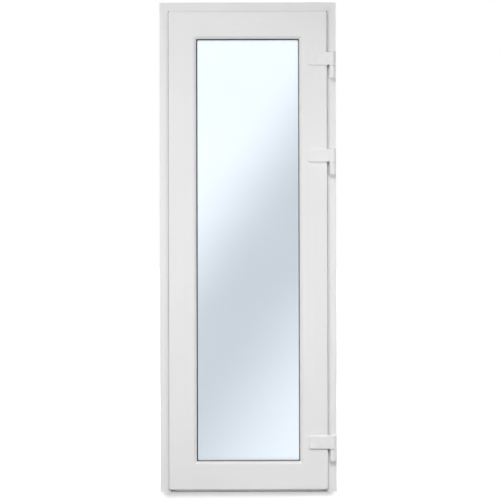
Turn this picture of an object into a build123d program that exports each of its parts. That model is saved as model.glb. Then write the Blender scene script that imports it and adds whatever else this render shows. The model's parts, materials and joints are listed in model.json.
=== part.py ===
from build123d import *
import os

# A white plastic balcony door: one fully glazed sash that opens outwards on three barrel hinges,
# in a rebated frame with mitred top corners and a low aluminium threshold.
# Millimetres. +Z is up, -Y is the outside and +X the hinge side, and the origin is the middle
# of the threshold's underside.
# Profiles are drawn across their length: w runs from the frame's outer edge into the opening, and y is depth.

os.makedirs("parts", exist_ok=True)

# Frame
frame_width = 790.0
frame_height = 2190.0
frame_depth = 70.0
frame_body = 48.0
stop_reach = 20.0
stop_thickness = 11.0
frame_edge_round = 2.0
stop_round = 3.0
wall_groove_width = 6.0
wall_groove_depth = 4.0
wall_groove_spread = 44.0
fixing_hole_radius = 5.25
fixing_end_inset = 210.0
fixing_count = 4

# How the sash sits in the frame
sash_overlap = 8.0
rebate_gap = 12.0
seal_gap = 5.0
seal_clearance = 0.3

# Sash profile
flange_thickness = 11.0
sash_face = 124.0
sash_edge_round = 4.0
sash_corner_round = 9.0
sash_inner_round = 2.0
glass_rebate = 20.0
upstand_thickness = 15.0
bevel_width = 11.0
bevel_depth = 8.0
bevel_round = 3.0
hardware_axis = 20.0
hardware_clearance = 0.25

# Seals between sash and frame
seal_width = 6.0
seal_round = 2.4
seal_groove_width = 3.0
seal_groove_depth = 4.0
sash_seal_inset = 4.5
frame_seal_inset = 5.0

# Glazing
pane_thickness = 4.0
pane_cavity = 12.0
glass_cover = 15.0
spacer_width = 8.0
outer_gasket = 4.0
outer_gasket_show = 5.0
inner_gasket_show = 2.0
gasket_tip = 1.0
gasket_corner_round = 11.0
inner_gasket = 3.0
bead_setback = 8.0
bead_slope_start = 6.0
bead_tip = 4.0
bead_round = 2.0
bead_foot_width = 3.0
bead_foot_depth = 4.0
bead_foot_inset = 3.0

# Threshold
threshold_height = 20.0
tread_thickness = 5.0
tread_fall = 3.0
tread_skirt = 4.0
tread_lift = 2.0
tread_round = 1.5
tread_groove_width = 2.0
tread_groove_depth = 1.0
tread_groove_pitch = 7.0
tread_groove_count = 6
tread_groove_start = 10.0

# Hinges
top_hinge_drop = 286.0
middle_hinge_drop = 719.0
bottom_hinge_rise = 192.0
barrel_radius = 14.0
barrel_edge_inset = 16.0
barrel_standoff = 5.0
barrel_chamfer = 2.0
sash_knuckle_height = 62.0
frame_knuckle_height = 53.0
knuckle_gap = 1.5
hinge_leaf_reach = 108.0
hinge_leaf_height = 57.0
hinge_leaf_lift = 2.0
hinge_leaf_thickness = 12.0
hinge_leaf_corner = 8.0
hinge_leaf_chamfer = 4.0
barrel_join = 4.0
pin_radius = 6.0
pin_clearance = 0.05
pin_end_clearance = 0.3
barrel_end_wall = 9.0

# Lock edge
faceplate_width = 16.0
faceplate_thickness = 3.0
faceplate_end_inset = 150.0
lower_cam_rise = 330.0
middle_cam_drop = 50.0
upper_cam_drop = 450.0
cam_stem_radius = 4.0
cam_head_radius = 6.0
cam_head_height = 3.0
cam_reach = 8.0
cam_travel = 40.0
cam_slot_clearance = 0.3
keep_length = 54.0
keep_width = 20.0
keep_plate = 2.0
keep_lip_height = 6.5
keep_lip_thickness = 3.0
keep_round = 1.0
keep_cam_clearance = 6.0

# Handle, on the inside
handle_height = 1050.0
handle_backset = 32.0
rose_width = 32.0
rose_height = 72.0
rose_thickness = 9.0
rose_corner = 8.0
rose_chamfer = 2.5
lever_standoff = 46.0
lever_length = 130.0
lever_bend = 20.0
lever_width = 20.0
lever_thickness = 14.0
lever_chamfer = 4.0

# Depths, from the outside to the inside
frame_front = -frame_depth / 2
frame_back = frame_depth / 2
stop_face = frame_back - stop_thickness
flange_back = frame_front - seal_gap
sash_front = flange_back - flange_thickness
sash_back = stop_face - seal_gap
upstand_back = sash_front + upstand_thickness
glass_front = upstand_back + outer_gasket
glass_back = glass_front + 3 * pane_thickness + 2 * pane_cavity
bead_front = glass_back + inner_gasket
hardware_line = flange_back + hardware_axis

# Distances from the frame's outer edge into the opening
stop_edge = frame_body + stop_reach
sash_edge = frame_body - sash_overlap
sash_body_edge = frame_body + rebate_gap
sight_line = sash_edge + sash_face
inside_line = sight_line - bead_setback
glass_base = sight_line - glass_rebate
glass_edge = sight_line - glass_cover

# The threshold is lower than the frame is wide, so the bottom edge that w starts from lies under it
bottom_edge = threshold_height - frame_body
right_edge = frame_width / 2
left_edge = -frame_width / 2
stop_top = bottom_edge + stop_edge

# One plane for each side of the door: its x runs inwards, its y towards the inside of the house
left_side = Plane((left_edge, 0, 0), x_dir=(1, 0, 0), z_dir=(0, 0, 1))
right_side = Plane((right_edge, 0, frame_height), x_dir=(-1, 0, 0), z_dir=(0, 0, -1))
top_side = Plane((left_edge, 0, frame_height), x_dir=(0, 0, -1), z_dir=(1, 0, 0))
bottom_side = Plane((right_edge, 0, bottom_edge), x_dir=(0, 0, 1), z_dir=(-1, 0, 0))
bottom_middle = Plane((0, 0, bottom_edge), x_dir=(0, 0, 1), z_dir=(-1, 0, 0))

# Mitre planes: rails lie above them and stiles below
top_left = Plane((left_edge, 0, frame_height), z_dir=(1, 0, 1))
top_right = Plane((right_edge, 0, frame_height), z_dir=(-1, 0, 1))
bottom_left = Plane((left_edge, 0, bottom_edge), z_dir=(1, 0, -1))
bottom_right = Plane((right_edge, 0, bottom_edge), z_dir=(-1, 0, -1))
sides = {
    "top": (top_side, frame_width, (top_left, top_right), Keep.TOP),
    "bottom": (bottom_side, frame_width, (bottom_left, bottom_right), Keep.TOP),
    "hinge": (right_side, frame_height, (top_right, bottom_right), Keep.BOTTOM),
    "lock": (left_side, frame_height, (top_left, bottom_left), Keep.BOTTOM),
}


def save(piece, name):
    """Label a finished piece and write it."""
    piece.part.label = name
    export_step(piece.part, f"parts/{name}.step")


def facade(depth):
    """Vertical plane at a depth, facing the outside, with x to the hinge side and y up."""
    return Plane.XZ.offset(-depth)


def frame_section():
    """Frame profile: a body at the wall, a stop lip at the inside, and grooves for seal and wall clips."""
    with BuildSketch() as section:
        with BuildLine():
            FilletPolyline(
                (0, frame_front),
                (frame_body, frame_front),
                (frame_body, stop_face),
                (stop_edge, stop_face),
                (stop_edge, frame_back),
                (0, frame_back),
                radius=(0, frame_edge_round, 0, frame_edge_round, stop_round, 0),
                close=True,
            )
        make_face()
        with Locations((stop_edge - frame_seal_inset, stop_face)):
            Rectangle(seal_groove_width, 2 * seal_groove_depth, mode=Mode.SUBTRACT)
        with GridLocations(0, wall_groove_spread, 1, 2):
            Rectangle(2 * wall_groove_depth, wall_groove_width, mode=Mode.SUBTRACT)
    return section.sketch


def sash_section():
    """Sash profile: an outer flange that overlaps the frame, the body, and an upstand bevelled to the glass."""
    with BuildSketch() as section:
        with BuildLine():
            FilletPolyline(
                (sash_edge, sash_front),
                (sight_line - bevel_width, sash_front),
                (sight_line, sash_front + bevel_depth),
                (sight_line, upstand_back),
                (glass_base, upstand_back),
                (glass_base, sash_back),
                (sash_body_edge, sash_back),
                (sash_body_edge, flange_back),
                (sash_edge, flange_back),
                radius=(sash_edge_round, bevel_round, sash_inner_round, 0, 0, 0, sash_inner_round, 0, sash_inner_round),
                close=True,
            )
        make_face()
        with Locations((sash_edge + sash_seal_inset, flange_back)):
            Rectangle(seal_groove_width, 2 * seal_groove_depth, mode=Mode.SUBTRACT)
        with Locations((sash_body_edge, hardware_line)):
            Rectangle(2 * faceplate_thickness, faceplate_width + 2 * hardware_clearance, mode=Mode.SUBTRACT)
        with Locations((glass_base, bead_front + bead_foot_inset)):
            Rectangle(2 * bead_foot_depth, bead_foot_width, mode=Mode.SUBTRACT)
    return section.sketch


def bead_section():
    """Glazing bead: a sloped strip against the inner gasket, with a foot that clips into the sash."""
    with BuildSketch() as section:
        with BuildLine():
            FilletPolyline(
                (glass_base, bead_front),
                (inside_line, bead_front),
                (inside_line, bead_front + bead_tip),
                (glass_base + bead_slope_start, sash_back),
                (glass_base, sash_back),
                radius=(0, 0, bead_round, bead_round, 0),
                close=True,
            )
        make_face()
        with Locations((glass_base, bead_front + bead_foot_inset)):
            Rectangle(2 * bead_foot_depth, bead_foot_width)
    return section.sketch


def seal_section(centre, seat, foot, crown):
    """Rubber seal: a foot that fills its groove, and a rounded bulb from the seat to the crown."""
    with BuildSketch() as section:
        with BuildLine():
            FilletPolyline(
                (centre - seal_groove_width / 2, seat),
                (centre - seal_groove_width / 2, foot),
                (centre + seal_groove_width / 2, foot),
                (centre + seal_groove_width / 2, seat),
                (centre + seal_width / 2, seat),
                (centre + seal_width / 2, crown),
                (centre - seal_width / 2, crown),
                (centre - seal_width / 2, seat),
                radius=(0, 0, 0, 0, 0, seal_round, seal_round, 0),
                close=True,
            )
        make_face()
    return section.sketch


def gasket_section(line, back, glass, show, tip):
    """Glazing gasket: a flat strip behind its sight line that slopes down to a thin tip on the glass."""
    with BuildSketch() as section:
        with BuildLine():
            Polyline(
                (glass_edge, back),
                (line, back),
                (line + show, tip),
                (line + show, glass),
                (glass_edge, glass),
                close=True,
            )
        make_face()
    return section.sketch


def ring_path(distance, corner_round=0.0):
    """Closed rectangular path at a distance from the frame's outer edge, from the middle of the bottom."""
    left, right = left_edge + distance, right_edge - distance
    low, high = bottom_edge + distance, frame_height - distance
    points = [(0, 0, low), (left, 0, low), (left, 0, high), (right, 0, high), (right, 0, low)]
    with BuildLine() as path:
        if corner_round:
            FilletPolyline(*points, radius=(0, corner_round, corner_round, corner_round, corner_round), close=True)
        else:
            Polyline(*points, close=True)
    return path.line


def tread_top(depth):
    """Height of the tread at a depth: it falls towards the outside."""
    return threshold_height - tread_fall * (stop_face - depth) / (stop_face - frame_front)


def pane(name, outer_face):
    """One sheet of glass behind its outer face."""
    with BuildPart() as sheet:
        with BuildSketch(facade(outer_face + pane_thickness)):
            with Locations((0, (bottom_edge + frame_height) / 2)):
                Rectangle(frame_width - 2 * glass_edge, frame_height - bottom_edge - 2 * glass_edge)
        extrude(amount=pane_thickness)
    save(sheet, name)


def spacer(name, outer_face):
    """The strip that holds two sheets of glass apart along their edges."""
    with BuildPart() as strip:
        with BuildSketch(facade(outer_face + pane_cavity)):
            with Locations((0, (bottom_edge + frame_height) / 2)):
                Rectangle(frame_width - 2 * glass_edge, frame_height - bottom_edge - 2 * glass_edge)
                Rectangle(
                    frame_width - 2 * glass_edge - 2 * spacer_width,
                    frame_height - bottom_edge - 2 * glass_edge - 2 * spacer_width,
                    mode=Mode.SUBTRACT,
                )
        extrude(amount=pane_cavity)
    save(strip, name)


# Frame members: the head is mitred to the jambs, which run down to the ground
with BuildPart() as frame_head:
    with BuildSketch(top_side):
        add(frame_section())
    extrude(amount=frame_width)
    for corner in (top_left, top_right):
        split(bisect_by=corner, keep=Keep.TOP)
save(frame_head, "frame_head")

fixing_spacing = (frame_height - 2 * fixing_end_inset) / (fixing_count - 1)
fixing_heights = [fixing_end_inset + step * fixing_spacing for step in range(fixing_count)]
jambs = {
    "hinge_jamb": (right_side, top_right, right_edge, -1),
    "lock_jamb": (left_side, top_left, left_edge, 1),
}
for jamb_name, (side, corner, wall_face, inwards) in jambs.items():
    with BuildPart() as jamb:
        with BuildSketch(side):
            add(frame_section())
        extrude(amount=frame_height)
        split(bisect_by=corner, keep=Keep.BOTTOM)
        with BuildSketch(Plane((wall_face, 0, 0), x_dir=(0, 1, 0), z_dir=(1, 0, 0))):
            with Locations(*[(0, height) for height in fixing_heights]):
                Circle(fixing_hole_radius)
        extrude(amount=inwards * frame_body, mode=Mode.SUBTRACT)
        # The seal's groove turns here to meet the groove in the threshold
        with BuildSketch(facade(stop_face)):
            with Locations((wall_face + inwards * (stop_edge - frame_seal_inset / 2), stop_top - frame_seal_inset)):
                Rectangle(frame_seal_inset, seal_groove_width)
        extrude(amount=-seal_groove_depth, mode=Mode.SUBTRACT)
    save(jamb, jamb_name)

# Threshold, between the stops of the jambs
threshold_half = right_edge - stop_edge
threshold_plane = Plane((-threshold_half, 0, 0), x_dir=(0, 1, 0), z_dir=(1, 0, 0))
base_height = threshold_height - tread_thickness
with BuildPart() as threshold_base:
    with BuildSketch(threshold_plane):
        with Locations((frame_front + tread_skirt, 0)):
            Rectangle(frame_depth - tread_skirt, base_height, align=(Align.MIN, Align.MIN))
    extrude(amount=2 * threshold_half)
save(threshold_base, "threshold_base")

with BuildPart() as threshold_tread:
    with BuildSketch(threshold_plane):
        with BuildLine():
            FilletPolyline(
                (frame_front, tread_lift),
                (frame_front, tread_top(frame_front)),
                (stop_face, threshold_height),
                (stop_face, stop_top),
                (frame_back, stop_top),
                (frame_back, base_height),
                (frame_front + tread_skirt, base_height),
                (frame_front + tread_skirt, tread_lift),
                radius=(0, tread_round, tread_round, frame_edge_round, stop_round, 0, 0, 0),
                close=True,
            )
        make_face()
        with Locations((stop_face, stop_top - frame_seal_inset)):
            Rectangle(2 * seal_groove_depth, seal_groove_width, mode=Mode.SUBTRACT)
        groove_depths = [
            frame_front + tread_groove_start + step * tread_groove_pitch for step in range(tread_groove_count)
        ]
        with Locations(*[(depth, tread_top(depth)) for depth in groove_depths]):
            Rectangle(tread_groove_width, 2 * tread_groove_depth, mode=Mode.SUBTRACT)
    extrude(amount=2 * threshold_half)
save(threshold_tread, "threshold_tread")

for end_name, start in (("threshold_end_lock", -threshold_half - stop_reach), ("threshold_end_hinge", threshold_half)):
    with BuildPart() as end_block:
        with BuildSketch(Plane((start, 0, 0), x_dir=(0, 1, 0), z_dir=(1, 0, 0))):
            with BuildLine():
                FilletPolyline(
                    (frame_front, 0),
                    (frame_front, tread_top(frame_front)),
                    (stop_face, threshold_height),
                    (stop_face, 0),
                    radius=(0, tread_round, 0, 0),
                    close=True,
                )
            make_face()
        extrude(amount=stop_reach)
    save(end_block, end_name)

# Sash members, mitred at all four corners
for member, (side, length, corners, kept) in sides.items():
    with BuildPart() as sash_member:
        with BuildSketch(side):
            add(sash_section())
        extrude(amount=length)
        for corner in corners:
            split(bisect_by=corner, keep=kept)
        with BuildSketch(facade(sash_back)):
            with Locations((0, (bottom_edge + frame_height) / 2)):
                RectangleRounded(
                    frame_width - 2 * sash_edge, frame_height - bottom_edge - 2 * sash_edge, sash_corner_round
                )
        extrude(amount=sash_back - sash_front, mode=Mode.INTERSECT)
    save(sash_member, f"sash_{member}_{'rail' if kept == Keep.TOP else 'stile'}")

# Seals
with BuildPart() as frame_seal:
    seal_centre = stop_edge - frame_seal_inset
    with BuildSketch(bottom_middle):
        add(seal_section(seal_centre, stop_face, stop_face + seal_groove_depth, sash_back + seal_clearance))
    sweep(path=ring_path(seal_centre), transition=Transition.RIGHT)
save(frame_seal, "frame_seal")

with BuildPart() as sash_seal:
    seal_centre = sash_edge + sash_seal_inset
    with BuildSketch(bottom_middle):
        add(seal_section(seal_centre, flange_back, flange_back - seal_groove_depth, frame_front - seal_clearance))
    sweep(path=ring_path(seal_centre), transition=Transition.RIGHT)
save(sash_seal, "sash_seal")

# Glazing: three panes, two spacers, a gasket on each face, and beads on the inside
pane_pitch = pane_thickness + pane_cavity
for place, pane_name in enumerate(("outer_pane", "middle_pane", "inner_pane")):
    pane(pane_name, glass_front + place * pane_pitch)
for place, spacer_name in enumerate(("outer_spacer", "inner_spacer")):
    spacer(spacer_name, glass_front + pane_thickness + place * pane_pitch)

with BuildPart() as outer_gasket_ring:
    with BuildSketch(bottom_middle):
        add(gasket_section(sight_line, upstand_back, glass_front, outer_gasket_show, glass_front - gasket_tip))
    sweep(path=ring_path(sight_line, gasket_corner_round), transition=Transition.RIGHT)
save(outer_gasket_ring, "outer_glazing_gasket")

with BuildPart() as inner_gasket_ring:
    with BuildSketch(bottom_middle):
        add(gasket_section(inside_line, bead_front, glass_back, inner_gasket_show, glass_back + gasket_tip))
    sweep(path=ring_path(inside_line, gasket_corner_round), transition=Transition.RIGHT)
save(inner_gasket_ring, "inner_glazing_gasket")

for member, (side, length, corners, kept) in sides.items():
    with BuildPart() as bead:
        with BuildSketch(side):
            add(bead_section())
        extrude(amount=length)
        for corner in corners:
            split(bisect_by=corner, keep=kept)
    save(bead, f"glazing_bead_{member}")

# Hinges: the sash knuckle turns on a pin that stands in the frame knuckle
hinge_axis_x = right_edge - barrel_edge_inset
hinge_axis_y = frame_front - barrel_standoff - barrel_radius
hinge_leaf_left = hinge_axis_x - hinge_leaf_reach
hinge_leaf_right = hinge_axis_x - barrel_radius + barrel_join
hinge_heights = {
    "top": frame_height - top_hinge_drop,
    "middle": frame_height - middle_hinge_drop,
    "bottom": bottom_hinge_rise,
}
for hinge_name, height in hinge_heights.items():
    knuckle_bottom = height + knuckle_gap / 2
    knuckle_top = knuckle_bottom + sash_knuckle_height
    base_top = height - knuckle_gap / 2
    base_bottom = base_top - frame_knuckle_height
    leaf_bottom = knuckle_bottom + hinge_leaf_lift
    leaf_top = leaf_bottom + hinge_leaf_height
    pin_bottom = base_bottom + barrel_end_wall
    bore_top = knuckle_top - barrel_end_wall

    with BuildPart() as hinge_leaf:
        with BuildSketch(facade(sash_front)):
            with BuildLine():
                FilletPolyline(
                    (hinge_leaf_left, leaf_bottom),
                    (hinge_leaf_left, leaf_top),
                    (hinge_leaf_right, leaf_top),
                    (hinge_leaf_right, leaf_bottom),
                    radius=(hinge_leaf_corner, hinge_leaf_corner, 0, 0),
                    close=True,
                )
            make_face()
        extrude(amount=hinge_leaf_thickness)
        pad_front = hinge_leaf.faces().sort_by(Axis.Y)[0]
        chamfer(pad_front.edges().sort_by(Axis.X)[:-1], length=hinge_leaf_chamfer)
        with BuildSketch(Plane.XY.offset(knuckle_bottom)):
            with Locations((hinge_axis_x, hinge_axis_y)):
                Circle(barrel_radius)
        extrude(amount=sash_knuckle_height)
        chamfer(hinge_leaf.edges().filter_by(GeomType.CIRCLE).sort_by(Axis.Z)[-1], length=barrel_chamfer)
        with BuildSketch(Plane.XY.offset(knuckle_bottom)):
            with Locations((hinge_axis_x, hinge_axis_y)):
                Circle(pin_radius + pin_clearance)
        extrude(amount=bore_top - knuckle_bottom, mode=Mode.SUBTRACT)
    save(hinge_leaf, f"{hinge_name}_hinge_leaf")

    with BuildPart() as hinge_base:
        with BuildSketch(Plane.XY.offset(base_bottom)):
            with Locations((hinge_axis_x, hinge_axis_y)):
                Circle(barrel_radius)
            with Locations((hinge_axis_x, frame_front)):
                Rectangle(2 * barrel_radius, barrel_radius + barrel_standoff, align=(Align.CENTER, Align.MAX))
        extrude(amount=frame_knuckle_height)
        base_foot = hinge_base.faces().sort_by(Axis.Z)[0]
        chamfer(base_foot.edges().sort_by(Axis.Y)[:-1], length=barrel_chamfer)
        with BuildSketch(Plane.XY.offset(pin_bottom)):
            with Locations((hinge_axis_x, hinge_axis_y)):
                Circle(pin_radius + pin_clearance)
        extrude(amount=base_top - pin_bottom, mode=Mode.SUBTRACT)
    save(hinge_base, f"{hinge_name}_hinge_base")

    with BuildPart() as hinge_pin:
        with BuildSketch(Plane.XY.offset(pin_bottom)):
            with Locations((hinge_axis_x, hinge_axis_y)):
                Circle(pin_radius)
        extrude(amount=bore_top - pin_end_clearance - pin_bottom)
    save(hinge_pin, f"{hinge_name}_hinge_pin")

# Lock edge: a faceplate let into the lock stile, and cams that slide up behind keeps on the jamb
lock_face = left_edge + sash_body_edge
lock_edge = Plane((lock_face, 0, 0), x_dir=(0, -1, 0), z_dir=(-1, 0, 0))
jamb_face = left_edge + frame_body
jamb_rebate = Plane((jamb_face, 0, 0), x_dir=(0, 1, 0), z_dir=(1, 0, 0))
cam_heights = (lower_cam_rise, handle_height - middle_cam_drop, frame_height - upper_cam_drop)
faceplate_bottom = bottom_edge + sash_body_edge + faceplate_end_inset
faceplate_top = frame_height - sash_body_edge - faceplate_end_inset
with BuildPart() as lock_faceplate:
    with BuildSketch(lock_edge):
        with Locations((-hardware_line, (faceplate_bottom + faceplate_top) / 2)):
            Rectangle(faceplate_width, faceplate_top - faceplate_bottom)
        with Locations(*[(-hardware_line, height + cam_travel / 2) for height in cam_heights]):
            SlotCenterToCenter(
                cam_travel, 2 * (cam_stem_radius + cam_slot_clearance), rotation=90, mode=Mode.SUBTRACT
            )
    extrude(amount=-faceplate_thickness)
save(lock_faceplate, "lock_faceplate")

with BuildPart() as lock_cams:
    with BuildSketch(lock_edge.offset(-faceplate_thickness)):
        with Locations(*[(-hardware_line, height) for height in cam_heights]):
            Circle(cam_stem_radius)
    extrude(amount=faceplate_thickness + cam_reach - cam_head_height)
    with BuildSketch(lock_edge.offset(cam_reach - cam_head_height)):
        with Locations(*[(-hardware_line, height) for height in cam_heights]):
            Circle(cam_head_radius)
    extrude(amount=cam_head_height)
save(lock_cams, "lock_cams")

keep_outer = hardware_line - cam_head_radius - keep_lip_thickness
for keep_name, height in zip(("lower_keep", "middle_keep", "upper_keep"), cam_heights):
    with BuildPart() as lock_keep:
        with BuildSketch(Plane.XY.offset(height + cam_head_radius + keep_cam_clearance)):
            with BuildLine():
                FilletPolyline(
                    (jamb_face, keep_outer),
                    (jamb_face + keep_lip_height, keep_outer),
                    (jamb_face + keep_lip_height, keep_outer + keep_lip_thickness),
                    (jamb_face + keep_plate, keep_outer + keep_lip_thickness),
                    (jamb_face + keep_plate, keep_outer + keep_width),
                    (jamb_face, keep_outer + keep_width),
                    radius=(0, keep_round, keep_round, 0, keep_round, 0),
                    close=True,
                )
            make_face()
        extrude(amount=keep_length)
    save(lock_keep, keep_name)

# Handle on the inside of the lock stile, with its lever turned down beside the glass
handle_x = lock_face + handle_backset
rose_face = sash_back + rose_thickness
with BuildPart() as handle_rose:
    with BuildSketch(facade(sash_back)):
        with Locations((handle_x, handle_height)):
            RectangleRounded(rose_width, rose_height, rose_corner)
    extrude(amount=-rose_thickness)
    chamfer(handle_rose.faces().sort_by(Axis.Y)[-1].edges(), length=rose_chamfer)
save(handle_rose, "handle_rose")

with BuildPart() as handle_lever:
    with BuildLine() as lever_path:
        FilletPolyline(
            (handle_x, rose_face, handle_height),
            (handle_x, rose_face + lever_standoff, handle_height),
            (handle_x, rose_face + lever_standoff, handle_height - lever_length),
            radius=lever_bend,
        )
    with BuildSketch(facade(rose_face)):
        with Locations((handle_x, handle_height)):
            bar = Rectangle(lever_width, lever_thickness)
        chamfer(bar.vertices(), length=lever_chamfer)
    sweep(path=lever_path.line)
    chamfer(handle_lever.faces().sort_by(Axis.Z)[0].edges(), length=lever_chamfer / 2)
save(handle_lever, "handle_lever")
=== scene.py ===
"""Dresses the glazed balcony door: finishes, small fittings and the studio round it."""
import json
import logging
import math
from dataclasses import dataclass
from enum import Enum

import bmesh
import bpy
from mathutils import Matrix, Vector

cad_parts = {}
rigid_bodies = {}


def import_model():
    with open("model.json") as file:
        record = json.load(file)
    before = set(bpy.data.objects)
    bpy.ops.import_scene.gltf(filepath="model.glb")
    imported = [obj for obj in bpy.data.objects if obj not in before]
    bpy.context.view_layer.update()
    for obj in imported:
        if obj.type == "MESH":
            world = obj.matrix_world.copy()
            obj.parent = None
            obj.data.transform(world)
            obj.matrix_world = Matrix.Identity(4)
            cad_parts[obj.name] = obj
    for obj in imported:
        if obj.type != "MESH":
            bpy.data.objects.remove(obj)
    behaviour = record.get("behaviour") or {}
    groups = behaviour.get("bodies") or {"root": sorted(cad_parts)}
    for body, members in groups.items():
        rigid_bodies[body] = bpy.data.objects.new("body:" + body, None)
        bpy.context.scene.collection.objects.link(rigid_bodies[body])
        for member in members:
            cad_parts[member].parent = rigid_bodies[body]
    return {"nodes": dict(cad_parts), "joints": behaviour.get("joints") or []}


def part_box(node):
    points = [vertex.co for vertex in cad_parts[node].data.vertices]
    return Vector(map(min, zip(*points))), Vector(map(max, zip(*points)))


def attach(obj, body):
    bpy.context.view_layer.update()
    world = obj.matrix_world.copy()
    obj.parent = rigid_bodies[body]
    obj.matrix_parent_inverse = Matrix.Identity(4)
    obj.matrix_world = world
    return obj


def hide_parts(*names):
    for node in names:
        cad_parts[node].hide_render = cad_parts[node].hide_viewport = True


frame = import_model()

log = logging.getLogger("balcony_door")

Colour = tuple[float, float, float]
Point = tuple[float, float, float]
Pair = tuple[float, float]
Loop = list[Vector]
Material = bpy.types.Material
Mesh = bpy.types.Mesh
Thing = bpy.types.Object
Socket = bpy.types.NodeSocket

WHITE = (1.0, 1.0, 1.0, 1.0)
NOISE_LOW, NOISE_HIGH = 0.3, 0.7
CREASE = 35.0
EDGE_STEPS = 6
RIM_STEPS = 4
MERGE_DISTANCE = 1e-7


class Body(Enum):
    """The two bodies that pieces ride on."""

    FRAME = "frame"
    SASH = "sash"


class Run(Enum):
    """The way a profile was extruded, as the axis that its streaks follow."""

    ACROSS = 0
    UPRIGHT = 2


@dataclass(frozen=True)
class Grain:
    """One noise in a finish's pattern.

    Attributes:
        cells: Noise cells per metre.
        detail: Number of finer octaves.
        along: Cells per metre along the finish's run, where that differs.
        weight: Share of this noise in the pattern.
    """

    cells: float
    detail: float
    along: float | None = None
    weight: float = 1.0


class NodeGraph:
    """Adds and links the nodes of one node tree."""

    def __init__(self, tree: bpy.types.NodeTree) -> None:
        """Keep the tree that the nodes go into."""
        self.tree = tree

    def fill(self, node: bpy.types.Node, inputs: dict) -> None:
        """Link or set inputs of a node.

        Args:
            node: Node of this tree.
            inputs: Socket name or index, with a socket to link or a value to set.
        """
        for socket, value in inputs.items():
            if isinstance(value, Socket):
                self.tree.links.new(value, node.inputs[socket])
            else:
                node.inputs[socket].default_value = value

    def add(self, kind: str, inputs: dict | None = None, **settings: object) -> bpy.types.Node:
        """Add a node, set its options, then link or set its inputs.

        Args:
            kind: The node's type name.
            inputs: Its inputs, as fill takes them.
            settings: Node options by attribute name.

        Returns:
            The new node.
        """
        node = self.tree.nodes.new(kind)
        for name, value in settings.items():
            setattr(node, name, value)
        self.fill(node, inputs or {})
        return node

    def math(self, operation: str, first: object, second: object) -> Socket:
        """Return the result of a two-value shader sum."""
        return self.add("ShaderNodeMath", {0: first, 1: second}, operation=operation).outputs[0]

    def vector(self, operation: str, *values: object) -> Socket:
        """Return the result of a vector sum, which is a plain value for a product or a length."""
        result = "Value" if operation in ("DOT_PRODUCT", "LENGTH") else "Vector"
        return self.add("ShaderNodeVectorMath", dict(enumerate(values)), operation=operation).outputs[result]

    def noise(self, grain: Grain, run: Run) -> Socket:
        """Lay noise over the object's own coordinates.

        Args:
            grain: The noise.
            run: Axis that may have a count of its own.

        Returns:
            The noise value, mostly from NOISE_LOW to NOISE_HIGH, times its weight.
        """
        stretch = [grain.cells, grain.cells, grain.cells]
        if grain.along is not None:
            stretch[run.value] = grain.along
        coords = self.add("ShaderNodeTexCoord").outputs["Object"]
        mapped = self.add("ShaderNodeMapping", {"Vector": coords, "Scale": stretch}).outputs["Vector"]
        laid = {"Vector": mapped, "Scale": 1.0, "Detail": grain.detail}
        value = self.add("ShaderNodeTexNoise", laid).outputs["Fac"]
        return value if grain.weight == 1.0 else self.math("MULTIPLY", value, grain.weight)

    def spread(self, value: Socket, low: float, high: float) -> Socket:
        """Map the usual span of noise onto low to high."""
        span = {"Value": value, "From Min": NOISE_LOW, "From Max": NOISE_HIGH, "To Min": low, "To Max": high}
        return self.add("ShaderNodeMapRange", span, interpolation_type="SMOOTHSTEP").outputs["Result"]

    def mix(self, factor: object, first: object, second: object) -> Socket:
        """Return a blend of two colours."""
        return self.add("ShaderNodeMix", {0: factor, 6: first, 7: second}, data_type="RGBA").outputs[2]

    def shade(self, value: Socket, colour: Colour, amount: float) -> Socket:
        """Darken and lighten a colour by a share of itself.

        Args:
            value: Noise that drives the change.
            colour: The middle colour.
            amount: Largest share that is taken off or added.

        Returns:
            The varied colour.
        """
        dark = (*(c * (1 - amount) for c in colour), 1.0)
        light = (*(min(1.0, c * (1 + amount)) for c in colour), 1.0)
        return self.mix(self.spread(value, 0.0, 1.0), dark, light)

    def bump(self, height: Socket, distance: float, strength: float) -> Socket:
        """Return a normal bent by a height."""
        relief = {"Height": height, "Distance": distance, "Strength": strength}
        return self.add("ShaderNodeBump", relief).outputs["Normal"]


Grains = tuple[Grain, ...]
Fixed = tuple[tuple[str, float], ...]


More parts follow.
